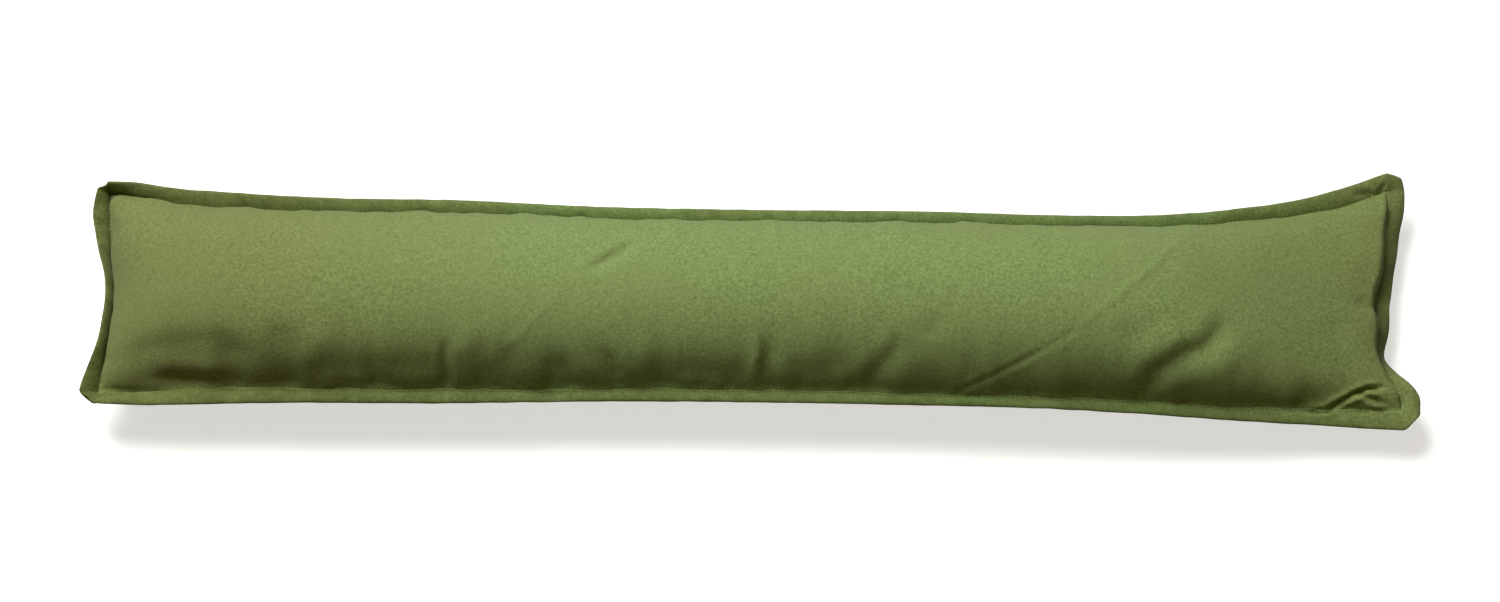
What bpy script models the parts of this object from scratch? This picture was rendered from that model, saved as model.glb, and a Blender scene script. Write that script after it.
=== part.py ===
"""A draught excluder: a long stuffed cushion that lies along the foot of a door.

Two equal panels of plain green brushed cloth are sewn together, turned right side out and
filled. Top-stitching a little way in from the edge leaves a flat flange of the panels' own
cloth all round. The cushion lies on its back with its length along X. Sizes here are in
millimetres, and the mesh is made in metres.
"""

import math
from collections import namedtuple

import bmesh
import bpy
from mathutils import Vector
from mathutils.geometry import intersect_point_line

MM = 0.001

# The end seams, where the filling stops. A nose is how far in from its seam the filling takes
# to reach full height, and the flatness is how much sooner than an arc it gets there.
LEFT_SEAM = -429.0
RIGHT_SEAM = 424.0
LEFT_NOSE = 56.0
RIGHT_NOSE = 14.0
END_FLATNESS = 1.2

# The flange outside the seam, with its corners rounded off except the squarer one at the back
# right. The tilts turn its ends up, in degrees.
FLANGE_THICKNESS = 3.0
CORNER_ROUNDING = 0.72
SQUARER_ROUNDING = 0.2
LEFT_TILT = 46.0
RIGHT_TILT = 30.0

# The filling rounds each panel to an arc, which leaves the seam at this angle to the floor.
CROWN_ANGLE = math.radians(72.0)

# How finely the cloth is divided.
NOSE_STEPS = 8
MIDDLE_STEPS = 58
ACROSS_STEPS = 24
FLANGE_STEPS = 2

# Cross-sections from the left end to the right. back and front are where the seam runs in Y,
# crown is how high the filling stands above the seam and as deep below it, seam is the
# seam's height above the floor, flat is how much flatter than an arc the crown's top is, lean
# is how far that top lies towards the front, flange is how wide the flange is, and the tilts
# turn its outer edge up, or down below nought, in degrees.
Section = namedtuple("Section", "x back front crown seam flat lean flange back_tilt front_tilt")
SECTIONS = (
    Section(-429, 92, -55, 36, 28, 1.1, 0, 12, 28, 0),
    Section(-395, 81.5, -58, 41, 34, 1.1, 0, 10.5, 30, -5),
    Section(-350, 73.5, -58, 44, 39, 1.1, 0, 11, 30, -8),
    Section(-285, 69.5, -58.5, 45.5, 41, 1.1, 0, 10.5, 26, -10),
    Section(-200, 69, -59.5, 46, 41, 1.1, 0, 9.5, 20, -12),
    Section(-100, 64.5, -60.5, 46, 41, 1.05, 0, 8.5, 16, -14),
    Section(10, 62.5, -61.5, 45.5, 41, 1.0, 0, 8.3, 15, -15),
    Section(120, 61.5, -64, 46, 41, 1.0, 0, 8, 15, -15),
    Section(200, 59, -66.5, 46, 41, 1.05, 0.02, 8, 15, -14),
    Section(275, 60, -69.5, 43, 38, 1.2, 0.05, 8.5, 15, -12),
    Section(330, 66, -70.6, 34, 33, 1.35, 0.08, 9.5, 18, -10),
    Section(375, 75, -69, 24, 27, 1.4, 0.1, 11.5, 20, -6),
    Section(405, 84.5, -69, 14.5, 25, 1.3, 0.08, 13, 18, -4),
    Section(424, 91.6, -70.5, 6.5, 25, 1.2, 0.05, 13, 16, -3),
)

# How far the end seams stray from straight: across runs from -1 at the front corner to 1 at
# the back corner, and out is positive away from the cushion's middle.
EndPoint = namedtuple("EndPoint", "across out")
LEFT_END = (
    EndPoint(-1.0, 4),
    EndPoint(-0.8, 2.3),
    EndPoint(-0.57, 0.5),
    EndPoint(-0.37, -1.5),
    EndPoint(-0.1, -2.5),
    EndPoint(0.3, 1),
    EndPoint(0.75, 3.8),
    EndPoint(1.0, 5),
)
RIGHT_END = (
    EndPoint(-1.0, 8),
    EndPoint(-0.85, 8),
    EndPoint(-0.7, 1),
    EndPoint(-0.56, -3),
    EndPoint(-0.28, -2.5),
    EndPoint(-0.02, -6),
    EndPoint(0.15, -2.3),
    EndPoint(0.33, 2.5),
    EndPoint(0.7, 6.2),
    EndPoint(0.86, 8),
    EndPoint(1.0, 8),
)
END_REACH = 120.0

# Soft troughs in the front panel, each along a line from (x0, y0) to (x1, y1).
Fold = namedtuple("Fold", "x0 y0 x1 y1 depth half_width")
FOLDS = (
    Fold(9, -61, 10, -38, 2.2, 8),
    Fold(-200, -59, -201, -40, 2.0, 8),
    Fold(-88, -60, -98, -42, 2.0, 8),
    Fold(-107, 5, -74, 30, 2.0, 8),
    Fold(133, -65, 218, -33, 1.0, 8),
    Fold(72, -60, 97, -32, 1.8, 8),
    Fold(251, -67, 277, -45, 3.6, 10),
    Fold(277, -45, 311, -16, 3.6, 10),
    Fold(-402, -51, -350, -55, 2.8, 9),
    Fold(370, -69, 400, -59, 3.5, 6),
    Fold(400, -59, 422, -52, 3.5, 6),
)

CLOTH_GREEN = (0.216, 0.287, 0.098, 1.0)


def from_rows(rows, place, key, value):
    """Read a smooth curve through a table's rows, where key is their place on it."""
    count = len(rows)
    last = max(i for i in range(count - 1) if i == 0 or getattr(rows[i], key) <= place)
    places = [getattr(row, key) for row in rows]
    values = [getattr(row, value) for row in rows]

    def slope(i):
        low = max(i - 1, 0)
        high = min(i + 1, count - 1)
        return (values[high] - values[low]) / (places[high] - places[low])

    span = places[last + 1] - places[last]
    t = min(max((place - places[last]) / span, 0.0), 1.0)
    return (
        values[last] * (1 + 2 * t) * (1 - t) ** 2
        + slope(last) * span * t * (1 - t) ** 2
        + values[last + 1] * t * t * (3 - 2 * t)
        + slope(last + 1) * span * t * t * (t - 1)
    )


def places_along():
    """X of each column inside the seam, and how full the cushion is there, from 0 to 1."""
    angles = [i / NOSE_STEPS * math.pi / 2 for i in range(NOSE_STEPS)]
    full = [1 - (1 - math.sin(a)) ** END_FLATNESS for a in angles]
    left = [(LEFT_SEAM + LEFT_NOSE * (1 - math.cos(a)), f) for a, f in zip(angles, full)]
    right = [(RIGHT_SEAM - RIGHT_NOSE * (1 - math.cos(a)), f) for a, f in zip(angles, full)]
    first = LEFT_SEAM + LEFT_NOSE
    length = RIGHT_SEAM - RIGHT_NOSE - first
    middle = [(first + length * i / MIDDLE_STEPS, 1.0) for i in range(MIDDLE_STEPS + 1)]
    return left + middle + right[::-1]


def fold_depth(x, y):
    """How far the folds press the front panel in at a point."""
    point = Vector((x, y, 0))
    deepest = 0.0
    for fold in FOLDS:
        start = Vector((fold.x0, fold.y0, 0))
        end = Vector((fold.x1, fold.y1, 0))
        nearest, share = intersect_point_line(point, start, end)
        nearest = start.lerp(end, min(max(share, 0.0), 1.0))
        distance = (point - nearest).length / fold.half_width
        deepest = max(deepest, fold.depth * math.exp(-distance * distance))
    return deepest


def cloth_points(x, full, around, past_end, past_side):
    """The front and back panels' points at one place of the pattern.

    around is the angle over the crown, from -CROWN_ANGLE at the front seam to CROWN_ANGLE at
    the back seam. past_end and past_side run over the flange, from 0 at the seam to 1 or -1
    at the edge.
    """
    row = {name: from_rows(SECTIONS, x, "x", name) for name in Section._fields[1:]}
    middle = (row["back"] + row["front"]) / 2
    half = (row["back"] - row["front"]) / 2
    share = math.sin(around) / math.sin(CROWN_ANGLE)
    arc = (math.cos(around) - math.cos(CROWN_ANGLE)) / (1 - math.cos(CROWN_ANGLE))
    rise = 1 - (1 - max(arc, 0.0)) ** row["flat"]
    y = middle + half * (share - row["lean"] * (1 - share * share))

    left_pull = max(0.0, 1 - (x - LEFT_SEAM) / END_REACH) ** 2
    right_pull = max(0.0, 1 - (RIGHT_SEAM - x) / END_REACH) ** 2
    bowed = x
    bowed -= left_pull * from_rows(LEFT_END, share, "across", "out")
    bowed += right_pull * from_rows(RIGHT_END, share, "across", "out")

    end_tilt = math.radians(LEFT_TILT if past_end < 0 else RIGHT_TILT)
    side_tilt = math.radians(row["front_tilt"] if past_side < 0 else row["back_tilt"])
    squarer = past_end > 0 and past_side > 0
    rounding = SQUARER_ROUNDING if squarer else CORNER_ROUNDING
    end_out = past_end * math.sqrt(1 - rounding * past_side**2)
    side_out = past_side * math.sqrt(1 - rounding * past_end**2)
    end_lift = abs(end_out) * math.sin(end_tilt)
    side_lift = abs(side_out) * math.sin(side_tilt)
    endwise = abs(past_end) / max(abs(past_end) + abs(past_side), 0.001)
    bowed += row["flange"] * end_out * math.cos(end_tilt)
    y += row["flange"] * side_out * math.cos(side_tilt)
    seam = row["seam"] + row["flange"] * (endwise * end_lift + (1 - endwise) * side_lift)

    stuffed = row["crown"] * full * rise
    top = seam + FLANGE_THICKNESS / 2 + stuffed
    top -= fold_depth(bowed, y) * min(1.0, stuffed / 12)
    bottom = max(0.0, seam - FLANGE_THICKNESS / 2 - stuffed)
    return Vector((bowed, y, top)) * MM, Vector((bowed, y, bottom)) * MM


def pattern_columns():
    """(x, full, past_end) of every column, with the end flanges on both sides."""
    out = [i / FLANGE_STEPS for i in range(1, FLANGE_STEPS + 1)]
    left = [(LEFT_SEAM, 0.0, -share) for share in reversed(out)]
    right = [(RIGHT_SEAM, 0.0, share) for share in out]
    return left + [(x, full, 0.0) for x, full in places_along()] + right


def pattern_rows():
    """(around, past_side) of every row, with the side flanges on both sides."""
    out = [i / FLANGE_STEPS for i in range(1, FLANGE_STEPS + 1)]
    front = [(-CROWN_ANGLE, -share) for share in reversed(out)]
    back = [(CROWN_ANGLE, share) for share in out]
    filled = [(CROWN_ANGLE * (2 * i / ACROSS_STEPS - 1), 0.0) for i in range(ACROSS_STEPS + 1)]
    return front + filled + back


def build_cushion():
    """Both panels, closed round the outer edge of the flange into one filled solid."""
    mesh = bmesh.new()
    front = []
    back = []
    for x, full, past_end in pattern_columns():
        pairs = [cloth_points(x, full, turn, past_end, side) for turn, side in pattern_rows()]
        front.append([mesh.verts.new(top) for top, bottom in pairs])
        back.append([mesh.verts.new(bottom) for top, bottom in pairs])

    columns = len(front)
    rows = len(front[0])
    for i in range(columns - 1):
        for j in range(rows - 1):
            corners = ((i, j), (i + 1, j), (i + 1, j + 1), (i, j + 1))
            mesh.faces.new([front[a][b] for a, b in corners])
            mesh.faces.new([back[a][b] for a, b in reversed(corners)])

    rim = [(i, 0) for i in range(columns)]
    rim += [(columns - 1, j) for j in range(1, rows)]
    rim += [(i, rows - 1) for i in range(columns - 2, -1, -1)]
    rim += [(0, j) for j in range(rows - 2, 0, -1)]
    for (a, b), (c, d) in zip(rim, rim[1:] + rim[:1]):
        mesh.faces.new((front[a][b], back[a][b], back[c][d], front[c][d]))

    lows = [min(v.co[axis] for v in mesh.verts) for axis in range(2)]
    highs = [max(v.co[axis] for v in mesh.verts) for axis in range(2)]
    centre = Vector(((lows[0] + highs[0]) / 2, (lows[1] + highs[1]) / 2, 0))
    bmesh.ops.translate(mesh, vec=-centre, verts=mesh.verts)

    data = bpy.data.meshes.new("cushion")
    mesh.to_mesh(data)
    mesh.free()
    cushion = bpy.data.objects.new("cushion", data)
    bpy.context.scene.collection.objects.link(cushion)
    return cushion


def brushed_cloth():
    """Plain green brushed cotton, matt with a soft nap."""
    material = bpy.data.materials.new("green_brushed_cotton")
    material.use_nodes = True
    shader = material.node_tree.nodes["Principled BSDF"]
    shader.inputs["Base Color"].default_value = CLOTH_GREEN
    shader.inputs["Roughness"].default_value = 0.95
    shader.inputs["Metallic"].default_value = 0.0
    return material


for item in list(bpy.data.objects):
    bpy.data.objects.remove(item, do_unlink=True)

cushion = build_cushion()
cushion.data.materials.append(brushed_cloth())
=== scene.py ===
import math
from collections import namedtuple

import bpy
import numpy as np
from mathutils import Matrix, Vector, noise
from mathutils.bvhtree import BVHTree


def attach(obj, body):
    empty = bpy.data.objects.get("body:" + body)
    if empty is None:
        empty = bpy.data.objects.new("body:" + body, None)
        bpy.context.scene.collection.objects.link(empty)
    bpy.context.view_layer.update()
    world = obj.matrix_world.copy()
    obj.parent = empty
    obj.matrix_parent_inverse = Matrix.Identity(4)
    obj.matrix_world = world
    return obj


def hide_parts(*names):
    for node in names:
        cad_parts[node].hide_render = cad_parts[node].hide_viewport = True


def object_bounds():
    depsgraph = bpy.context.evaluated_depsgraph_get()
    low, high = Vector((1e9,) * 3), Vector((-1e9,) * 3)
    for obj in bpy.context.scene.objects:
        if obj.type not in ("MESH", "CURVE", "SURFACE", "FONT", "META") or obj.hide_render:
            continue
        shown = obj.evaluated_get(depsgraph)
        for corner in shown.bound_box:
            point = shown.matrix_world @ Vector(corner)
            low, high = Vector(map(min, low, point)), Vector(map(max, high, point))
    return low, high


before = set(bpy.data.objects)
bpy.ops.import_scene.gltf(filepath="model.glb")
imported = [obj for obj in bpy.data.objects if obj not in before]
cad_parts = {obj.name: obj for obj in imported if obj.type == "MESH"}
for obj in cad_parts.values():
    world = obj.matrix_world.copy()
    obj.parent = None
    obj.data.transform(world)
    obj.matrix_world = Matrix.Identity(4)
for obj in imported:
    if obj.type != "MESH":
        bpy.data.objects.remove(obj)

cad_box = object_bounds()


# The cushion: two equal panels of plain green cotton, brushed to a soft nap, sewn round the
# edge, turned right side out, filled with loose polyester fibre and top-stitched 8 to 13 mm in.
# The filling stops at that stitching, so the panels' edges stand out round it as a flange.

MM = 0.001

# The end seams, where the filling stops. A nose is how far in from its seam the filling takes
# to reach full height, and the flatness is how much sooner than an arc it gets there.
LEFT_SEAM = -429.0
RIGHT_SEAM = 424.0
LEFT_NOSE = 56.0
RIGHT_NOSE = 2.5
END_FLATNESS = 1.2

# How much the flange's corners are rounded off, from 0 for square: both front ones, the back
# right one and the back left one, which stands up and is pinched towards the front.
CORNER_ROUNDING = 0.72
SQUARER_ROUNDING = 0.3
UPRIGHT_ROUNDING = 0.1
CORNER_PINCH = 3.2

# The filling rounds each panel to an arc, which leaves the seam at this angle to the floor.
CROWN_ANGLE = math.radians(72)

# How far in from its end seam the cloth still follows the way that seam strays.
END_REACH = 120.0

# How much the flange curls between its stitching and its edge. A drooping one curls upwards.
SIDE_CURL = math.radians(20)
END_CURL = math.radians(40)
DROOPING_CURL = -math.radians(10)

# How finely the cloth is divided, along X, along the noses and from seam to seam over the
# filling, and how much closer together the lines lie beside the seams.
CELL = 4.0
NOSE_FINENESS = 1.25
ACROSS_STEPS = 42
CLOSER_AT_SEAM = 0.05

# The stitched sides waver in slow and in quick waves, and the flange sways, in degrees, and
# is bumpy, more so at the ends. A wave is about how far apart its crests lie.
SLOW_WAVER = 1.8
QUICK_WAVER = 1.2
BACK_WAVE = 27
FRONT_WAVE = 23
QUICK_WAVE = 9
SWAY = 7
SWAY_WAVE = 45
BUMP = 0.8
END_BUMP = 1.8
BUMP_WAVE = 12
END_TILT_LIMITS = (-84, 86)
SIDE_TILT_LIMITS = (-20, 90)

# back and front are where the seam runs in Y, crown is how far the filling stands above the
# seam, seam is its height above the floor, flat is how much flatter than an arc its top is,
# lean is how far its top lies towards the front, flange is how wide the flange is, and the
# tilts turn its outer edge up, or down below nought, in degrees.
Section = namedtuple("Section", "x back front crown seam flat lean flange back_tilt front_tilt")
SECTIONS = (
    Section(-429, 92, -57.5, 36, 28, 1.1, 0, 13.5, 88, 38),
    Section(-395, 81.5, -60, 41, 34, 1.1, 0, 10.5, 36, 15),
    Section(-350, 73.5, -59, 44, 39, 1.1, 0, 11, 30, -6),
    Section(-285, 69.5, -60, 45.5, 41, 1.1, 0, 10, 26, -10),
    Section(-200, 69, -61.3, 46, 41, 1.1, 0, 9, 20, -12),
    Section(-100, 64.5, -60.5, 46, 41, 1.05, 0, 8.5, 16, -14),
    Section(10, 62.5, -61.5, 45.5, 41, 1.0, 0, 8.3, 15, -15),
    Section(120, 61.5, -64, 46, 41, 1.0, 0, 8, 15, -15),
    Section(200, 59, -66.5, 46, 41, 1.05, 0.02, 8, 15, -14),
    Section(275, 60, -69.5, 43, 38, 1.2, 0.05, 8.5, 15, -12),
    Section(330, 66, -70.6, 32, 33, 1.35, 0.08, 9.5, 18, -10),
    Section(375, 75, -69, 22.5, 27, 1.4, 0.1, 11.5, 20, -6),
    Section(405, 84.5, -69, 15.5, 25, 1.3, 0.08, 13, 24, -4),
    Section(424, 93, -70.5, 10.5, 25, 1.2, 0.05, 13, 32, -3),
)

# How far each end seam strays outwards, and how far its flange's edge is turned up, or down
# below nought, in degrees. across runs from -1 at the front corner to 1 at the back corner.
EndPoint = namedtuple("EndPoint", "across out tilt")
LEFT_END = (
    EndPoint(-1.0, 4, 28),
    EndPoint(-0.8, 2.3, 50),
    EndPoint(-0.57, 0.5, 70),
    EndPoint(-0.37, -1.5, 72),
    EndPoint(-0.1, -2.5, 74),
    EndPoint(0.1, -1.5, 70),
    EndPoint(0.3, 1, 58),
    EndPoint(0.5, 2, 42),
    EndPoint(0.75, 3.8, 34),
    EndPoint(1.0, 5, 60),
)
RIGHT_END = (
    EndPoint(-1.0, 8, 0),
    EndPoint(-0.85, 8, 2),
    EndPoint(-0.7, 1, -6),
    EndPoint(-0.56, -3, -40),
    EndPoint(-0.42, -5.5, -66),
    EndPoint(-0.28, -4.5, -60),
    EndPoint(-0.13, -4.4, -46),
    EndPoint(-0.02, -6.6, -30),
    EndPoint(0.15, -2.3, -42),
    EndPoint(0.33, 2, -52),
    EndPoint(0.51, 4.2, -44),
    EndPoint(0.7, 6.2, -36),
    EndPoint(0.86, 8, -20),
    EndPoint(1.0, 8, -10),
)

# Across the flange from the stitching to the folded edge: share of its width, and half its
# thickness in mm, thin under the stitches and thick where the seam allowance lies inside.
FlangeStep = namedtuple("FlangeStep", "share half_thickness")
FLANGE_STEPS = (
    FlangeStep(0.14, 0.8),
    FlangeStep(0.36, 1.4),
    FlangeStep(0.6, 1.6),
    FlangeStep(0.84, 1.45),
    FlangeStep(1.0, 0.8),
)
SEAM_HALF_THICKNESS = 0.6

# How sharply the stitched line stays folded when the cover is rounded, from 0 to 1.
SEAM_CREASE = 0.8


def smooth_curve(rows, key, value):
    """A function that reads a smooth curve through a table's rows."""
    places = np.array([getattr(row, key) for row in rows], float)
    values = np.array([getattr(row, value) for row in rows], float)
    slopes = np.gradient(values, places)

    def read(at):
        at = np.clip(at, places[0], places[-1])
        i = np.clip(np.searchsorted(places, at) - 1, 0, len(places) - 2)
        span = places[i + 1] - places[i]
        t = (at - places[i]) / span
        low = values[i] * (1 + 2 * t) + slopes[i] * span * t
        high = values[i + 1] * (3 - 2 * t) - slopes[i + 1] * span * (1 - t)
        return low * (1 - t) ** 2 + high * t * t

    return read


def ripple(x, y, wavelength, seed):
    """Smooth noise from -1 to 1 over arrays of places in mm."""
    flat = [
        noise.noise(Vector((a / wavelength, b / wavelength, seed)))
        for a, b in zip(np.ravel(x), np.ravel(y))
    ]
    return np.array(flat).reshape(np.shape(x))


def places_along():
    """X of each column inside the seam, and how full the cushion is there, from 0 to 1."""
    def nose(length):
        steps = max(2, round(length * NOSE_FINENESS / CELL))
        angles = np.arange(steps) / steps * math.pi / 2
        return length * (1 - np.cos(angles)), 1 - (1 - np.sin(angles)) ** END_FLATNESS

    left, left_full = nose(LEFT_NOSE)
    right, right_full = nose(RIGHT_NOSE)
    first = LEFT_SEAM + LEFT_NOSE
    last = RIGHT_SEAM - RIGHT_NOSE
    middle = np.linspace(first, last, round((last - first) / CELL) + 1)
    x = np.concatenate([LEFT_SEAM + left, middle, (RIGHT_SEAM - right)[::-1]])
    full = np.concatenate([left_full, np.ones(len(middle)), right_full[::-1]])
    return x, full


def over_flange(share, tilt, curl):
    """How far out and up the flange reaches, and its slope there. It is steepest beside the
    stitching and curls to lie flatter at its edge."""
    first = tilt + curl / 2
    slope = first - curl * abs(share)
    reach = (np.sin(first) - np.sin(slope)) / curl
    lift = (np.cos(slope) - np.cos(first)) / curl
    return np.sign(share) * reach, lift, slope


def cushion_points():
    """Front and back panel points, as grids of columns along X and rows across, each point's
    share of the way out over the flange, and how far it lies from a side and an end seam."""
    shares = np.array([step.share for step in FLANGE_STEPS])
    none = np.zeros(len(shares))
    along_x, along_full = places_along()
    x = np.concatenate([none + LEFT_SEAM, along_x, none + RIGHT_SEAM])
    full = np.concatenate([none, along_full, none])
    past_end = np.concatenate([-shares[::-1], np.zeros(len(along_x)), shares])

    turn = np.linspace(-1, 1, ACROSS_STEPS + 1)
    angles = CROWN_ANGLE * (turn + CLOSER_AT_SEAM * np.sin(math.pi * turn))
    around = np.concatenate([none - CROWN_ANGLE, angles, none + CROWN_ANGLE])
    past_side = np.concatenate([-shares[::-1], np.zeros(len(angles)), shares])

    x, around = np.meshgrid(x, around, indexing="ij")
    past_end = np.repeat(past_end[:, None], len(past_side), axis=1)
    full, past_side = np.meshgrid(full, past_side, indexing="ij")

    row = {name: smooth_curve(SECTIONS, "x", name)(x) for name in Section._fields[1:]}
    out = np.maximum(abs(past_end), abs(past_side))
    back_slow = SLOW_WAVER * ripple(x, x * 0, BACK_WAVE, 3.1)
    back_quick = QUICK_WAVER * ripple(x, x * 0, QUICK_WAVE, 4.4)
    front_slow = SLOW_WAVER * ripple(x, x * 0, FRONT_WAVE, 7.7)
    front_quick = QUICK_WAVER * ripple(x, x * 0, QUICK_WAVE, 8.8)
    row["back"] += (back_slow + back_quick) * (1 - out)
    row["front"] += (front_slow + front_quick) * (1 - out)
    middle = (row["back"] + row["front"]) / 2
    half = (row["back"] - row["front"]) / 2
    end = np.sin(around) / math.sin(CROWN_ANGLE)
    arc = (np.cos(around) - math.cos(CROWN_ANGLE)) / (1 - math.cos(CROWN_ANGLE))
    rise = 1 - (1 - np.clip(arc, 0, 1)) ** row["flat"]
    y = middle + half * (end - row["lean"] * (1 - end**2))
    from_side = (CROWN_ANGLE - abs(around)) * half / math.sin(CROWN_ANGLE)
    from_left = np.hypot(x - LEFT_SEAM, row["crown"] * full)
    from_right = np.hypot(RIGHT_SEAM - x, row["crown"] * full)
    from_end = np.minimum(from_left, from_right)
    left_pull = np.clip(1 - (x - LEFT_SEAM) / END_REACH, 0, 1) ** 2
    right_pull = np.clip(1 - (RIGHT_SEAM - x) / END_REACH, 0, 1) ** 2
    x = x - left_pull * smooth_curve(LEFT_END, "across", "out")(end)
    x = x + right_pull * smooth_curve(RIGHT_END, "across", "out")(end)

    left_tilt = smooth_curve(LEFT_END, "across", "tilt")(end)
    right_tilt = smooth_curve(RIGHT_END, "across", "tilt")(end)
    end_tilt = np.where(past_end < 0, left_tilt, right_tilt)
    side_tilt = np.where(past_side < 0, row["front_tilt"], row["back_tilt"])
    sway = SWAY * ripple(x, y, SWAY_WAVE, 11.3)
    end_tilt = np.radians(np.clip(end_tilt + sway, *END_TILT_LIMITS))
    side_tilt = np.radians(np.clip(side_tilt + sway, *SIDE_TILT_LIMITS))

    back_rounding = np.where(past_end < 0, UPRIGHT_ROUNDING, SQUARER_ROUNDING)
    rounding = np.where(past_side > 0, back_rounding, CORNER_ROUNDING)
    end_share = past_end * np.sqrt(1 - rounding * past_side**2)
    side_share = past_side * np.sqrt(1 - rounding * past_end**2)
    end_curl = np.where(end_tilt < 0, DROOPING_CURL, END_CURL)
    end_reach, end_lift, end_slope = over_flange(end_share, end_tilt, end_curl)
    side_reach, side_lift, side_slope = over_flange(side_share, side_tilt, SIDE_CURL)
    endwise = abs(past_end) / np.maximum(abs(past_end) + abs(past_side), 0.001)
    x = x + row["flange"] * end_reach
    y = y + row["flange"] * side_reach
    y = y - CORNER_PINCH * np.clip(-past_end, 0, 1) * np.clip(end, 0, 1) ** 6
    lift = endwise * end_lift + (1 - endwise) * side_lift
    bump = np.where(from_end < 0.1, END_BUMP, BUMP)
    bumps = out * bump * ripple(x, y, BUMP_WAVE, 5.9)
    seam = row["seam"] + row["flange"] * lift + bumps

    steps = np.concatenate([[0.0], shares])
    halves = [SEAM_HALF_THICKNESS] + [step.half_thickness for step in FLANGE_STEPS]
    half_thickness = np.interp(out, steps, halves)
    lean_x = -np.sign(past_end) * np.sin(end_slope) * endwise
    lean_y = -np.sign(past_side) * np.sin(side_slope) * (1 - endwise)
    upright = np.sqrt(np.clip(1 - lean_x**2 - lean_y**2, 0.02, 1))

    stuffed = row["crown"] * full * rise
    front = np.stack(
        [
            x + lean_x * half_thickness,
            y + lean_y * half_thickness,
            seam + upright * half_thickness + stuffed,
        ],
        axis=-1,
    )
    back = np.stack(
        [
            x - lean_x * half_thickness,
            y - lean_y * half_thickness,
            seam - upright * half_thickness - stuffed,
        ],
        axis=-1,
    )
    back[..., 2] = np.maximum(back[..., 2], 0)
    return front, back, out, from_side, from_end


def loop_round(grid):
    """The outermost entries of a grid, in order round it."""
    return np.concatenate([grid[:, 0], grid[-1, 1:], grid[-2::-1, -1], grid[0, -2:0:-1]])


def closed_mesh(name, front, back):
    """Both panels, closed round the outer edge of the flange and folded along the stitches."""
    columns, rows = front.shape[:2]
    count = columns * rows
    index = np.arange(count).reshape(columns, rows)
    quads = np.stack(
        [index[:-1, :-1], index[1:, :-1], index[1:, 1:], index[:-1, 1:]], axis=-1
    ).reshape(-1, 4)
    rim = loop_round(index)
    after = np.roll(rim, -1)
    walls = np.stack([rim, rim + count, after + count, after], axis=-1)
    faces = np.concatenate([quads, quads[:, ::-1] + count, walls])
    points = np.concatenate([front.reshape(-1, 3), back.reshape(-1, 3)]) * MM
    mesh = bpy.data.meshes.new(name)
    mesh.from_pydata(points.tolist(), [], faces.tolist())
    mesh.update()
    mesh.polygons.foreach_set("use_smooth", np.ones(len(faces), bool))

    first = len(FLANGE_STEPS)
    stitched = loop_round(index[first : columns - first, first : rows - first])
    pairs = set(zip(stitched.tolist(), np.roll(stitched, -1).tolist()))
    pairs |= {(a + count, b + count) for a, b in pairs}
    folded = mesh.attributes.new("crease_edge", "FLOAT", "EDGE")
    for edge in mesh.edges:
        a, b = edge.vertices
        if (a, b) in pairs or (b, a) in pairs:
            folded.data[edge.index].value = SEAM_CREASE
            edge.use_edge_sharp = True
    item = bpy.data.objects.new(name, mesh)
    bpy.context.scene.collection.objects.link(item)
    return item


# How much darker the flange's colour is, as a share: partly its nap pressed flat, partly painted
# shade. The painted shade is more at the left end and less at the right one, which fades with
# the distance from them, and the first eighth of the way out from the stitching is darkened less.
NAP_AND_SHADE = 0.5
LEFT_PAINTED_SHADE_MORE = 0.3
RIGHT_PAINTED_SHADE_MORE = -0.35
PAINTED_SHADE_END_FADE = 30
NAP_AND_SHADE_FROM = 1 / 8

front_points, back_points, flange_share, from_side, from_end = cushion_points()
cushion = closed_mesh("cushion_cover", front_points, back_points)
# The flange's darkening, pressed nap and painted shade, is kept on the points for the cloth's
# colour.
end_painted_shade = np.where(front_points[..., 0] > 0, RIGHT_PAINTED_SHADE_MORE, LEFT_PAINTED_SHADE_MORE)
pressed = NAP_AND_SHADE + end_painted_shade * np.exp(-from_end / PAINTED_SHADE_END_FADE)
pressed = pressed * np.clip(flange_share / NAP_AND_SHADE_FROM, 0, 1)
pressed = np.concatenate([pressed.ravel()] * 2)
cushion.data.attributes.new("nap_and_painted_shade", "FLOAT", "POINT").data.foreach_set("value", pressed)

# The cover is blown out against its seam, as the filling presses it, by MOST_MOVE at most.
# Its cloth has some ease within EASE_REACH of the seam, unevenly.

PRESS_FRAMES = 20
MOST_MOVE = 3.0
EASE_REACH = 34.0
EASE_WAVE = 60


def apply_modifiers(item):
    """Replace an object's mesh with the one its modifiers make."""
    shown = item.evaluated_get(bpy.context.evaluated_depsgraph_get())
    finished = bpy.data.meshes.new_from_object(shown)
    item.modifiers.clear()
    old = item.data
    item.data = finished
    bpy.data.meshes.remove(old)


def read_points(mesh):
    points = np.empty(len(mesh.vertices) * 3)
    mesh.vertices.foreach_get("co", points)
    return points.reshape(-1, 3)


def write_points(mesh, points):
    mesh.vertices.foreach_set("co", points.ravel())
    mesh.update()


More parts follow.
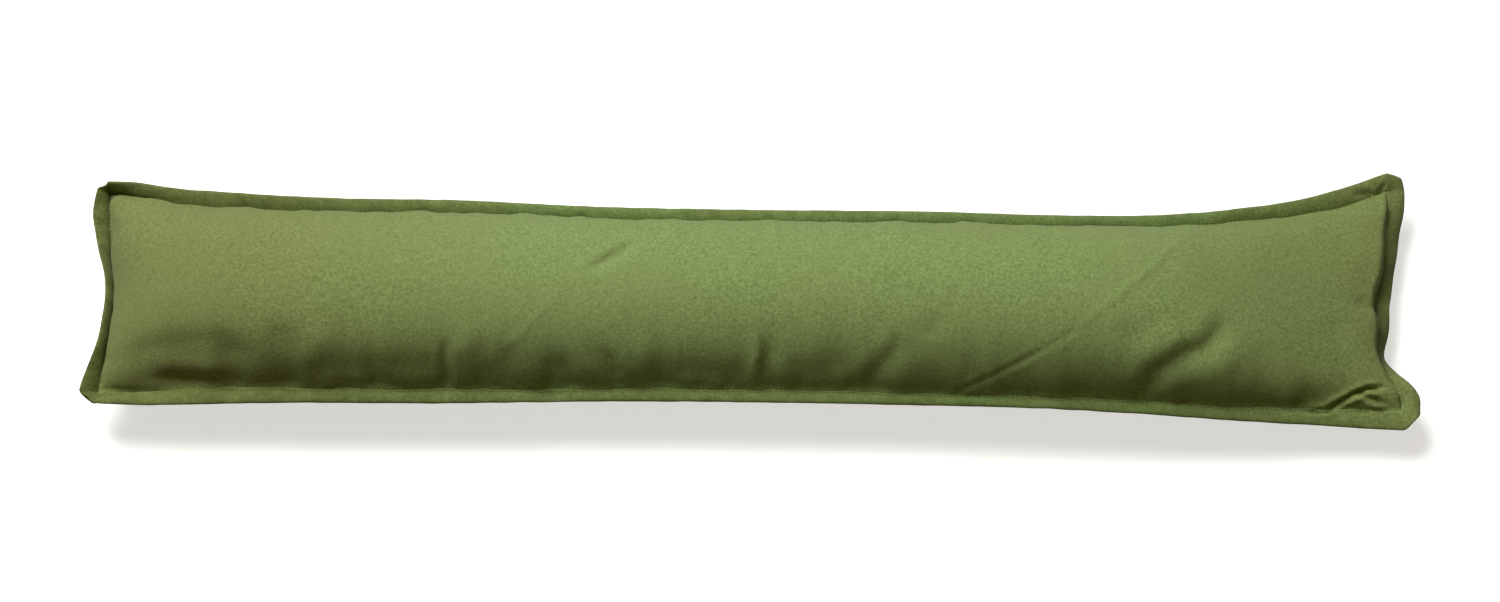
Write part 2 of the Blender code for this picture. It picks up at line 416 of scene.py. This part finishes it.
def press_out(item, out, from_seam):
    """Blow the filled part of the cover out against its seam with Blender's cloth."""
    start = read_points(item.data)
    inside = out == 0
    seam_line = np.zeros_like(inside)
    edge = len(FLANGE_STEPS)
    seam_line[edge:-edge, edge] = True
    seam_line[edge:-edge, -edge - 1] = True
    seam_line[edge, edge:-edge] = True
    seam_line[-edge - 1, edge:-edge] = True
    held = np.concatenate([(seam_line | ~inside).ravel()] * 2)

    pins = item.vertex_groups.new(name="stitched")
    pins.add(np.nonzero(held)[0].tolist(), 1.0, "REPLACE")
    ease = item.vertex_groups.new(name="ease")
    near = np.clip(1 - np.concatenate([from_seam.ravel()] * 2) / EASE_REACH, 0, 1)
    uneven = 0.65 + 0.5 * ripple(start[:, 0] / MM, start[:, 1] / MM, EASE_WAVE, 21.0)
    weights = np.clip(near * uneven, 0, 1)
    for i in np.nonzero(weights > 0.02)[0]:
        ease.add([int(i)], float(weights[i]), "REPLACE")

    cloth = item.modifiers.new("filling", "CLOTH")
    settings = cloth.settings
    settings.quality = 5
    settings.mass = 0.3
    settings.tension_stiffness = 30
    settings.compression_stiffness = 30
    settings.shear_stiffness = 10
    settings.bending_stiffness = 0.4
    settings.vertex_group_mass = "stitched"
    settings.pin_stiffness = 1.0
    settings.use_pressure = True
    settings.uniform_pressure_force = 2.5
    settings.vertex_group_shrink = "ease"
    settings.shrink_min = 0.0
    settings.shrink_max = -0.05
    settings.effector_weights.gravity = 0.0
    cloth.collision_settings.use_collision = False
    scene = bpy.context.scene
    for number in range(1, PRESS_FRAMES + 1):
        scene.frame_set(number)
    apply_modifiers(item)
    scene.frame_set(1)

    moved = read_points(item.data) - start
    length = np.linalg.norm(moved, axis=1)
    most = MOST_MOVE * MM
    capped = most * np.tanh(length / most) / np.maximum(length, 1e-9)
    finished = start + moved * capped[:, None]
    finished[:, 2] = np.maximum(finished[:, 2], 0)
    write_points(item.data, finished)
    item.vertex_groups.clear()


press_out(cushion, flange_share, np.minimum(from_side, from_end))


# The stitches draw the cloth in at uneven places, so short puckers run in from the seam, with
# soft swells between them. The reach is how far in they run, and it changes along the seam.
# The first 2.5 mm beside the stitches stay flatter.

PUCKER_DEPTH = 2.0
PUCKER_WAVE = 17.0
PUCKER_NARROWNESS = 0.2
PUCKER_REACH = 11.0
REACH_CHANGE = 1.3
REACH_WAVE = 26
REACH_LIMITS = (3, 30)
SWELL_DEPTH = 1.6
SWELL_WAVE = 33
STITCHED_FLAT = 2.5

# Keeps the two sides from puckering at quite the same places.
SIDE_SHIFT = 3


def seam_puckers(along, away, seed):
    """How far the puckers draw the cloth in, at places along a seam and away from it. Their
    waves change slowly away from the seam, so that they run inwards from it."""
    wave = ripple(along, away * 0.25, PUCKER_WAVE, seed)
    groove = np.exp(-((wave / PUCKER_NARROWNESS) ** 2))
    change = REACH_CHANGE * ripple(along, away * 0.1, REACH_WAVE, seed + 5)
    reach = np.clip(PUCKER_REACH * (1 + change), *REACH_LIMITS)
    swell = SWELL_DEPTH * ripple(along, away * 0.2, SWELL_WAVE, seed + 9)
    fade = np.exp(-away / reach) * np.clip(away / STITCHED_FLAT, 0, 1)
    return (PUCKER_DEPTH * groove + swell) * fade


def read_normals(mesh):
    normals = np.empty(len(mesh.vertices) * 3)
    mesh.vertices.foreach_get("normal", normals)
    return normals.reshape(-1, 3)


def pucker(mesh, inside, from_side, from_end):
    """Draw both panels in along their puckers."""
    points = read_points(mesh)
    drawn = []
    for half, seed in ((points[: inside.size], 31.0), (points[inside.size :], 57.0)):
        x = half[:, 0].reshape(inside.shape) / MM
        y = half[:, 1].reshape(inside.shape) / MM
        side = seam_puckers(x + SIDE_SHIFT * np.sign(y), from_side, seed)
        drawn.append((side + seam_puckers(y, from_end, seed + 17)) * inside)
    draw = np.concatenate([part.ravel() for part in drawn])
    points = points - read_normals(mesh) * draw[:, None] * MM
    points[:, 2] = np.maximum(points[:, 2], 0)
    write_points(mesh, points)


pucker(cushion.data, flange_share == 0, from_side, from_end)


# The folds and hollows that lying and packing have left in the front panel. Each runs along
# a line of (x, y) places. Its trough is left_width wide on the left of that line and
# right_width on the right, a depth below nought makes a ridge, and lip is how far its edges
# stand up. It fades out over the taper's share of its length at both ends.

Crease = namedtuple("Crease", "name depth left_width right_width lip taper line")
CREASES = (
    Crease("centre fold", 1.7, 1.8, 8, 0.6, 0.4, ((9, -61), (10, -50), (10, -36))),
    Crease("centre dent", 1.1, 1.8, 6, 0.2, 0.3, ((12, 52), (12, 26))),
    Crease("left fold", 1.5, 1.8, 5, 0.6, 0.25, ((-200, -60), (-201, -49), (-201, -38))),
    Crease("kink", 1.6, 8, 2.6, 0.5, 0.4, ((-88, -60), (-90, -54), (-93, -49), (-99, -42))),
    Crease("slanting dent", 2.4, 2.4, 5, 0.3, 0.3, ((-107, 5), (-91, 16), (-74, 30))),
    Crease("seam dent", 1.2, 5, 6, 0, 0.2, ((-97, 31), (-83, 46))),
    Crease("faint ridge", -0.45, 2.6, 2.6, 0, 0.2, ((-162, -45), (-139, -26), (-116, -3))),
    Crease(
        "pressed fold", 0.8, 1.4, 2.4, 0.1, 0.12, ((133, -65), (146, -62), (180, -51), (218, -33))
    ),
    Crease(
        "pressed ridge", -0.9, 2.4, 2.0, 0, 0.15, ((212, -37), (246, -10), (266, 10), (289, 38))
    ),
    Crease(
        "broad fold",
        2.7,
        6,
        8.5,
        0.8,
        0.2,
        ((255, -69), (260, -66), (268, -58), (283, -50), (300, -43), (317, -21)),
    ),
    Crease("dent above it", 1.1, 9, 9, 0, 0, ((250, -38), (266, -30))),
    Crease("soft fold", 1.4, 4.5, 9, 0.4, 0.25, ((74, -63), (84, -55), (94, -47), (100, -36))),
    Crease("small dent", 0.8, 6, 8, 0.2, 0.1, ((116, -38), (125, -25))),
    Crease("middle hollow", 1.0, 10, 10, 0, 0, ((41, -56), (54, -52))),
    Crease("long hollow", 1.0, 11, 7, 0, 0, ((-66, -57), (-39, -54), (-10, -56))),
    Crease("swell by the kink", -0.9, 9, 9, 0, 0, ((-79, -57), (-72, -46))),
    Crease("third hollow", 1.5, 10, 10, 0, 0, ((-132, -60), (-127, -53))),
    Crease("second hollow", 1.1, 9, 10, 0, 0, ((-170, -56), (-160, -50))),
    Crease("swell by the fold", -0.9, 9, 9, 0, 0, ((-187, -42), (-181, -36))),
    Crease("wide hollow", 0.9, 11, 7, 0, 0, ((-280, -53), (-245, -52), (-213, -52))),
    Crease("upright hollow", 1.7, 9, 9, 0, 0, ((-302, -56), (-304, -46), (-307, -37))),
    Crease("left swell", -1.0, 9, 9, 0, 0, ((-290, -47), (-283, -40))),
    Crease("upper swell", -0.4, 10, 10, 0, 0, ((-316, -32), (-304, -30))),
    Crease("left hollow", 2.0, 10, 10, 0, 0, ((-342, -57), (-340, -46))),
    Crease("corner hollow", 2.0, 8, 24, 0, 0, ((-402, -42), (-388, -40), (-352, -40))),
    Crease("corner strip", 2.5, 7, 2.8, 0.7, 0.3, ((-400, -54), (-375, -55), (-338, -57))),
    Crease("curved ridge", -0.5, 2.8, 2.8, 0, 0.25, ((208, 42), (221, 31), (228, 21), (232, 9))),
    Crease("end dent", 0.9, 8, 8, 0, 0, ((388, -22), (394, -16))),
    Crease("end pucker", 1.0, 3, 5, 0.4, 0.2, ((404, 4), (417, 1))),
    Crease("tuck hollow", 1.6, 14, 5, 0, 0.2, ((362, -66), (385, -62), (405, -55))),
    Crease("end ridge", -1.2, 2.4, 2.4, 0, 0.2, ((416, 9), (419, 0), (421, -12))),
    Crease(
        "top tuck", 3.6, 2.0, 2.8, 1.2, 0.2, ((-422, 84), (-412, 80), (-400, 76), (-386, 71))
    ),
    Crease("foot pucker", 1.2, 1.8, 1.4, 0.3, 0.3, ((-424, -57), (-410, -59), (-398, -60))),
    Crease(
        "corner tuck",
        3.4,
        1.4,
        1.8,
        1.0,
        0.15,
        ((368, -71), (383, -70), (390, -66), (400, -61), (409, -57), (422, -55)),
    ),
    Crease("second tuck", 2.0, 1.4, 2.0, 0.8, 0.3, ((400, -58), (410, -62), (422, -66))),
    Crease("third tuck", 1.4, 1.6, 1.6, 0.4, 0.2, ((400, -69), (410, -70), (424, -70))),
    Crease("ear crease", 1.6, 2.6, 3.2, 0.5, 0.25, ((424, -47), (433, -56), (435, -66))),
    Crease("mitre line", 1.1, 1.5, 1.5, 0.2, 0.15, ((425, 89), (431, 97), (434, 105))),
    Crease("mitre fold", 1.4, 1.8, 2.6, 0.5, 0.2, ((409, 90), (419, 90), (428, 84))),
)


def from_line(points, line):
    """Distance of each point from a bent line, the share along it, and how far the point lies
    to the line's left, from -1 on its right to 1."""
    lengths = np.linalg.norm(np.diff(line, axis=0), axis=1)
    reached = np.concatenate([[0], np.cumsum(lengths)])
    best = np.full(len(points), np.inf)
    share = np.zeros(len(points))
    left = np.zeros(len(points))
    for i, (start, end) in enumerate(zip(line[:-1], line[1:])):
        run = end - start
        offset = points - start
        along = np.clip(offset @ run / lengths[i] ** 2, 0, 1)
        gap = np.linalg.norm(offset - along[:, None] * run, axis=1)
        closer = gap < best
        best[closer] = gap[closer]
        share[closer] = (reached[i] + along[closer] * lengths[i]) / reached[-1]
        beside = (run[0] * offset[:, 1] - run[1] * offset[:, 0]) / lengths[i]
        left[closer] = (beside / np.maximum(gap, 0.001))[closer]
    return best, share, left


# A lip stands this many widths out from its line, and a tapering fold keeps this share of its
# depth at its tips. Cloth that faces sideways or down isn't pressed, and cloth whose normal
# points up by this share is pressed fully.
LIP_AT = 2.2
TIP_SHARE = 0.1
FULLY_PRESSED_SLOPE = 0.25


def press_folds(mesh):
    """Press the front panel in along each crease, measured over the cloth."""
    surface = BVHTree.FromPolygons(
        [v.co for v in mesh.vertices], [list(face.vertices) for face in mesh.polygons]
    )
    points = read_points(mesh) / MM
    normals = read_normals(mesh)
    facing = np.clip(normals[:, 2] / FULLY_PRESSED_SLOPE, 0, 1)
    push = np.zeros(len(points))
    for crease in CREASES:
        above = [Vector((x, y, 200)) * MM for x, y in crease.line]
        below = [surface.ray_cast(at, Vector((0, 0, -1)))[0] for at in above]
        line = np.array([hit for hit in below if hit]) / MM
        gap, share, left = from_line(points, line)
        left = np.clip(left, -1, 1)
        widths = (1 + left) * crease.left_width + (1 - left) * crease.right_width
        gap = gap * 2 / widths
        from_tip = np.minimum(share, 1 - share) / max(crease.taper, 0.001)
        taper = np.where(crease.taper > 0, np.clip(TIP_SHARE + from_tip, 0, 1), 1.0)
        trough = crease.depth * np.exp(-gap * gap)
        lip = crease.lip * np.exp(-((gap - LIP_AT) ** 2))
        push += (lip - trough) * taper * facing
    write_points(mesh, (points + normals * push[:, None]) * MM)


def subdivide(item, levels):
    smooth = item.modifiers.new("round", "SUBSURF")
    smooth.levels = levels
    smooth.render_levels = levels
    apply_modifiers(item)


subdivide(cushion, 1)
press_folds(cushion.data)

mesh_low = read_points(cushion.data).min(axis=0)
mesh_high = read_points(cushion.data).max(axis=0)
cad_middle = (Vector(cad_box[0]) + Vector(cad_box[1])) / 2
cushion_shift = Vector(
    (
        cad_middle.x - (mesh_low[0] + mesh_high[0]) / 2,
        cad_middle.y - (mesh_low[1] + mesh_high[1]) / 2,
        0,
    )
)
cushion.data.transform(Matrix.Translation(cushion_shift))


def linear(hex_colour):
    """An sRGB hex colour as linear red, green, blue and alpha."""
    parts = [int(hex_colour[i : i + 2], 16) / 255 for i in (1, 3, 5)]
    return [((c + 0.055) / 1.055) ** 2.4 if c > 0.04 else c / 12.92 for c in parts] + [1]


def add_node(tree, kind, settings=(), inputs=()):
    """Add a node, set its properties, and set or link its inputs."""
    node = tree.nodes.new(kind)
    for name, value in dict(settings).items():
        setattr(node, name, value)
    for name, value in dict(inputs).items():
        if isinstance(value, bpy.types.NodeSocket):
            tree.links.new(value, node.inputs[name])
        else:
            node.inputs[name].default_value = value
    return node


def new_material(name):
    material = bpy.data.materials.new(name)
    material.use_nodes = True
    return material, material.node_tree, material.node_tree.nodes["Principled BSDF"]


# The mottles' widths and the nap's height, in mm. Real nap is too fine to show at the photo's
# scale, so its tufts are drawn 2 mm wide, and the unevenness within them 1.2 mm wide.
NAP_TUFT = 2.0
NAP_GRAIN = 1.2
NAP_HEIGHT = 0.5
FADED_PATCH = 70
NAP_AND_SHADE_PATCH = 9

# Painted shade: greenest at this X, darker and browner between these distances from it, in mm.
GREENEST_AT = 70
BROWNER_FROM = 200
BROWNEST_AT = 450

# What the ends' painted shade and the flange's pressed nap and painted shade multiply the colour by.
END_SHADE_TINT = (0.87, 0.75, 0.71, 1)
NAP_AND_SHADE_TINT = (0.45, 0.5, 0.35, 1)


def brushed_cotton():
    """Plain-dyed cotton brushed to a short nap: matt, mottled where the nap lies both ways,
    with painted shade that makes it darker and browner towards the ends, and deeper in colour
    on the flange, partly where the seam allowance inside and the iron have pressed the nap flat
    and partly as painted shade."""
    material, tree, shader = new_material("green_brushed_cotton")
    place = add_node(tree, "ShaderNodeTexCoord").outputs["Object"]
    nap = add_node(
        tree,
        "ShaderNodeTexNoise",
        inputs={"Vector": place, "Scale": 1 / (NAP_TUFT * MM), "Detail": 3.0, "Roughness": 0.7},
    )
    nap_colour = add_node(tree, "ShaderNodeValToRGB", inputs={"Fac": nap.outputs["Fac"]})
    ramp = nap_colour.color_ramp
    ramp.elements[0].position = 0.3
    ramp.elements[0].color = linear("#6b7e43")
    ramp.elements[1].position = 0.7
    ramp.elements[1].color = linear("#93a86a")

    # Noise lies mostly between 0.35 and 0.65, so that span becomes the fading's whole range.
    fade = add_node(
        tree,
        "ShaderNodeTexNoise",
        inputs={"Vector": place, "Scale": 1 / (FADED_PATCH * MM), "Detail": 2.0, "Roughness": 0.5},
    )
    fade_share = add_node(
        tree,
        "ShaderNodeMapRange",
        inputs={0: fade.outputs["Fac"], 1: 0.35, 2: 0.65, 3: 0.0, 4: 0.4},
    )
    faded = add_node(
        tree,
        "ShaderNodeMix",
        {"data_type": "RGBA", "blend_type": "MIX"},
        {0: fade_share.outputs[0], 6: nap_colour.outputs["Color"], 7: linear("#84935a")},
    )
    along = add_node(tree, "ShaderNodeSeparateXYZ", inputs={"Vector": place})
    from_greenest = add_node(
        tree,
        "ShaderNodeMath",
        {"operation": "SUBTRACT"},
        {0: along.outputs["X"], 1: GREENEST_AT * MM},
    )
    outwards = add_node(
        tree, "ShaderNodeMath", {"operation": "ABSOLUTE"}, {0: from_greenest.outputs["Value"]}
    )
    browner = add_node(
        tree,
        "ShaderNodeMapRange",
        inputs={
            0: outwards.outputs["Value"],
            1: BROWNER_FROM * MM,
            2: BROWNEST_AT * MM,
            3: 0.0,
            4: 1.0,
        },
    )
    # Painted shade: the colour grows darker and browner towards both ends.
    ends = add_node(
        tree,
        "ShaderNodeMix",
        {"data_type": "RGBA", "blend_type": "MULTIPLY"},
        {0: browner.outputs[0], 6: faded.outputs[2], 7: END_SHADE_TINT},
    )
    nap_and_shade_attribute = add_node(tree, "ShaderNodeAttribute", {"attribute_name": "nap_and_painted_shade"})
    patches = add_node(
        tree,
        "ShaderNodeTexNoise",
        inputs={"Vector": place, "Scale": 1 / (NAP_AND_SHADE_PATCH * MM), "Detail": 3.0, "Roughness": 0.6},
    )
    unevenly = add_node(
        tree,
        "ShaderNodeMapRange",
        inputs={0: patches.outputs["Fac"], 1: 0.35, 2: 0.65, 3: 0.5, 4: 1.2},
    )
    nap_and_shade_share = add_node(
        tree,
        "ShaderNodeMath",
        {"operation": "MULTIPLY"},
        {0: nap_and_shade_attribute.outputs["Fac"], 1: unevenly.outputs[0]},
    )
    # The flange's colour deepens by the pressed nap and painted shade kept on its points.
    deeper = add_node(
        tree,
        "ShaderNodeMix",
        {"data_type": "RGBA", "blend_type": "MULTIPLY"},
        {0: nap_and_shade_share.outputs["Value"], 6: ends.outputs[2], 7: NAP_AND_SHADE_TINT},
    )
    tree.links.new(deeper.outputs[2], shader.inputs["Base Color"])
    grain = add_node(
        tree,
        "ShaderNodeTexNoise",
        inputs={"Vector": place, "Scale": 1 / (NAP_GRAIN * MM), "Detail": 2.0, "Roughness": 0.6},
    )
    bump = add_node(
        tree,
        "ShaderNodeBump",
        inputs={
            "Strength": 0.6,
            "Distance": NAP_HEIGHT * MM,
            "Height": grain.outputs["Fac"],
        },
    )
    tree.links.new(bump.outputs["Normal"], shader.inputs["Normal"])
    shader.inputs["Roughness"].default_value = 0.92
    shader.inputs["Specular IOR Level"].default_value = 0.2
    shader.inputs["Sheen Weight"].default_value = 0.25
    shader.inputs["Sheen Roughness"].default_value = 0.5
    shader.inputs["Sheen Tint"].default_value = linear("#c9d8a6")
    return material


cushion.data.materials.append(brushed_cotton())
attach(cushion, "root")
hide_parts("cushion")


# The top-stitching: a lockstitch in polyester thread, a slightly deeper green than the cloth,
# through both panels along the foot of the filling. Each stitch lies pulled down into the
# nap, so that it shows as a fine broken line on the front and on the back.

STITCH_PITCH = 3.2
STITCH_LENGTH = 2.6
THREAD_WIDTH = 0.55
SUNK = 0.08
TWIST_WIDTH = 0.6

# How far a stitch may lie turned off its course, in radians about each of its axes.
STITCH_SWING = (0.06, 0.05, 0.14)


def stitch_path(name, grids, surface):
    """Closed lines along the seam, laid on the cover, with the cloth's normal kept along them."""
    points = []
    normals = []
    edges = []
    edge = len(FLANGE_STEPS) - 1
    for grid in grids:
        loop = loop_round(grid[edge : grid.shape[0] - edge, edge : grid.shape[1] - edge])
        first = len(points)
        for place in loop:
            at = Vector(place) * MM + cushion_shift
            on, normal, face, gap = surface.find_nearest(at)
            points.append(on)
            normals.append(normal)
        last = len(points) - 1
        edges += [(i, i + 1) for i in range(first, last)] + [(last, first)]
    mesh = bpy.data.meshes.new(name)
    mesh.from_pydata(points, edges, [])
    kept = mesh.attributes.new("cloth_normal", "FLOAT_VECTOR", "POINT")
    kept.data.foreach_set("vector", np.array(normals).ravel())
    item = bpy.data.objects.new(name, mesh)
    bpy.context.scene.collection.objects.link(item)
    return item


def tree_input(tree, name, kind, value):
    socket = tree.interface.new_socket(name=name, in_out="INPUT", socket_type=kind)
    if value is not None:
        socket.default_value = value


def stitch_tree(thread):
    """Geometry nodes that lay one rounded stitch after another along a line."""
    tree = bpy.data.node_groups.new("stitches", "GeometryNodeTree")
    tree_input(tree, "Path", "NodeSocketGeometry", None)
    tree_input(tree, "Pitch", "NodeSocketFloat", 0.003)
    tree_input(tree, "Stitch Length", "NodeSocketFloat", 0.002)
    tree_input(tree, "Thread Width", "NodeSocketFloat", 0.0005)
    tree_input(tree, "Sunk", "NodeSocketFloat", 0.0)
    tree_input(tree, "Seed", "NodeSocketInt", 0)
    tree.interface.new_socket(name="Stitches", in_out="OUTPUT", socket_type="NodeSocketGeometry")
    given = add_node(tree, "NodeGroupInput").outputs
    line = add_node(tree, "GeometryNodeMeshToCurve", inputs={"Mesh": given["Path"]})
    spaced = add_node(
        tree,
        "GeometryNodeResampleCurve",
        {"mode": "LENGTH"},
        {"Curve": line.outputs["Curve"], "Length": given["Pitch"]},
    )
    tangent = add_node(tree, "GeometryNodeInputTangent").outputs["Tangent"]
    normal = add_node(
        tree,
        "GeometryNodeInputNamedAttribute",
        {"data_type": "FLOAT_VECTOR"},
        {"Name": "cloth_normal"},
    ).outputs["Attribute"]
    along = add_node(
        tree,
        "FunctionNodeAlignRotationToVector",
        {"axis": "X"},
        {"Vector": tangent},
    )
    turned = add_node(
        tree,
        "FunctionNodeAlignRotationToVector",
        {"axis": "Z", "pivot_axis": "X"},
        {"Rotation": along.outputs["Rotation"], "Vector": normal},
    )
    uneven = add_node(
        tree,
        "FunctionNodeRandomValue",
        {"data_type": "FLOAT_VECTOR"},
        {0: [-turn for turn in STITCH_SWING], 1: STITCH_SWING, "Seed": given["Seed"]},
    )
    swung = add_node(
        tree,
        "FunctionNodeRotateRotation",
        {"rotation_space": "LOCAL"},
        {"Rotation": turned.outputs["Rotation"], "Rotate By": uneven.outputs[0]},
    )
    ball = add_node(
        tree, "GeometryNodeMeshUVSphere", inputs={"Segments": 8, "Rings": 6, "Radius": 0.5}
    )
    size = add_node(
        tree,
        "ShaderNodeCombineXYZ",
        inputs={
            "X": given["Stitch Length"],
            "Y": given["Thread Width"],
            "Z": given["Thread Width"],
        },
    )
    laid = add_node(
        tree,
        "GeometryNodeInstanceOnPoints",
        inputs={
            "Points": spaced.outputs["Curve"],
            "Instance": ball.outputs["Mesh"],
            "Rotation": swung.outputs["Rotation"],
            "Scale": size.outputs["Vector"],
        },
    )
    down = add_node(
        tree, "ShaderNodeMath", {"operation": "MULTIPLY"}, {0: given["Sunk"], 1: -1.0}
    )
    sink = add_node(
        tree,
        "GeometryNodeTranslateInstances",
        inputs={"Instances": laid.outputs["Instances"], "Local Space": True},
    )
    depth = add_node(tree, "ShaderNodeCombineXYZ", inputs={"Z": down.outputs["Value"]})
    tree.links.new(depth.outputs["Vector"], sink.inputs["Translation"])
    real = add_node(
        tree, "GeometryNodeRealizeInstances", inputs={"Geometry": sink.outputs["Instances"]}
    )
    smooth = add_node(
        tree, "GeometryNodeSetShadeSmooth", inputs={"Geometry": real.outputs["Geometry"]}
    )
    finished = add_node(
        tree,
        "GeometryNodeSetMaterial",
        inputs={"Geometry": smooth.outputs["Geometry"], "Material": thread},
    )
    result = add_node(tree, "NodeGroupOutput")
    tree.links.new(finished.outputs["Geometry"], result.inputs["Stitches"])
    return tree


def set_inputs(modifier, values):
    """Set a Geometry Nodes modifier's inputs by their names in the tree."""
    for socket in modifier.node_group.interface.items_tree:
        if socket.in_out == "INPUT" and socket.name in values:
            modifier[socket.identifier] = values[socket.name]


def spun_thread():
    """Spun polyester thread, a slightly deeper green than the cloth: smoother than the nap,
    with a faint twist along each stitch."""
    material, tree, shader = new_material("green_polyester_thread")
    place = add_node(tree, "ShaderNodeTexCoord").outputs["Object"]
    twist = add_node(
        tree,
        "ShaderNodeTexNoise",
        inputs={"Vector": place, "Scale": 1 / (TWIST_WIDTH * MM), "Detail": 1.0, "Roughness": 0.5},
    )
    colour = add_node(tree, "ShaderNodeValToRGB", inputs={"Fac": twist.outputs["Fac"]})
    ramp = colour.color_ramp
    ramp.elements[0].position = 0.35
    ramp.elements[0].color = linear("#485829")
    ramp.elements[1].position = 0.65
    ramp.elements[1].color = linear("#6b7e43")
    tree.links.new(colour.outputs["Color"], shader.inputs["Base Color"])
    shader.inputs["Roughness"].default_value = 0.6
    shader.inputs["Specular IOR Level"].default_value = 0.35
    return material


thread = spun_thread()
cover_surface = BVHTree.FromPolygons(
    [v.co for v in cushion.data.vertices],
    [list(face.vertices) for face in cushion.data.polygons],
)
stitches = stitch_path("top_stitching", (front_points, back_points), cover_surface)
laying = stitches.modifiers.new("stitches", "NODES")
laying.node_group = stitch_tree(thread)
set_inputs(
    laying,
    {
        "Pitch": STITCH_PITCH * MM,
        "Stitch Length": STITCH_LENGTH * MM,
        "Thread Width": THREAD_WIDTH * MM,
        "Sunk": SUNK * MM,
        "Seed": 5,
    },
)
apply_modifiers(stitches)
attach(stitches, "root")


# The studio: a pale floor, a broad soft lamp high behind the cushion, a weak warm one in
# front and a camera that looks down on the front panel. The floor's faint glow keeps its
# shadow pale, and it throws no light back on to the cushion, whose near side lies in shade.

FLOOR_REACH = 4.0

floor_mesh = bpy.data.meshes.new("studio_floor")
floor_mesh.from_pydata(
    [
        (-FLOOR_REACH, -FLOOR_REACH, 0),
        (FLOOR_REACH, -FLOOR_REACH, 0),
        (FLOOR_REACH, FLOOR_REACH, 0),
        (-FLOOR_REACH, FLOOR_REACH, 0),
    ],
    [],
    [(0, 1, 2, 3)],
)
floor = bpy.data.objects.new("studio_floor", floor_mesh)
bpy.context.scene.collection.objects.link(floor)
floor_material, floor_tree, floor_shader = new_material("matt_white_paper")
floor_shader.inputs["Base Color"].default_value = linear("#fafafa")
floor_shader.inputs["Roughness"].default_value = 0.9
floor_shader.inputs["Emission Color"].default_value = linear("#ffffff")
floor_shader.inputs["Emission Strength"].default_value = 0.6
floor.data.materials.append(floor_material)
floor.visible_diffuse = False


def soft_lamp(name, place, size, watts, colour):
    """A square area lamp that faces the middle of the floor."""
    light = bpy.data.lights.new(name, "AREA")
    light.size = size
    light.energy = watts
    light.color = linear(colour)[:3]
    lamp = bpy.data.objects.new(name, light)
    lamp.location = place
    lamp.rotation_euler = (-Vector(place)).to_track_quat("-Z", "Y").to_euler()
    bpy.context.scene.collection.objects.link(lamp)


soft_lamp("key_lamp", place=(-1.1, 1.45, 2.7), size=1.8, watts=118, colour="#fffffd")
soft_lamp("fill_lamp", place=(0.6, -2.4, 2.6), size=2.0, watts=5.8, colour="#ffdc64")

world = bpy.data.worlds.new("studio_air")
world.use_nodes = True
world.node_tree.nodes["Background"].inputs["Color"].default_value = linear("#ffefb4")
world.node_tree.nodes["Background"].inputs["Strength"].default_value = 0.07
bpy.context.scene.world = world
bpy.context.scene.view_settings.view_transform = "Standard"

# The camera's frame is this wide at the cushion, in metres. It aims at the pattern's middle, a
# little behind its axis and at the height of its seam.
CAMERA_DISTANCE = 3.0
CAMERA_ELEVATION = math.radians(65)
FRAME_WIDTH = 1.0005
SENSOR_WIDTH = 36
AIM_BACK = 0.0037
AIM_HEIGHT = 0.041
AIM = Vector((cushion_shift.x, cushion_shift.y + AIM_BACK, AIM_HEIGHT))

camera_data = bpy.data.cameras.new("photo_camera")
camera_data.sensor_width = SENSOR_WIDTH
camera_data.lens = SENSOR_WIDTH * CAMERA_DISTANCE / FRAME_WIDTH
camera = bpy.data.objects.new("photo_camera", camera_data)
towards = Vector((0, -math.cos(CAMERA_ELEVATION), math.sin(CAMERA_ELEVATION)))
camera.location = AIM + towards * CAMERA_DISTANCE
camera.rotation_euler = towards.to_track_quat("Z", "Y").to_euler()
bpy.context.scene.collection.objects.link(camera)
bpy.context.scene.camera = camera
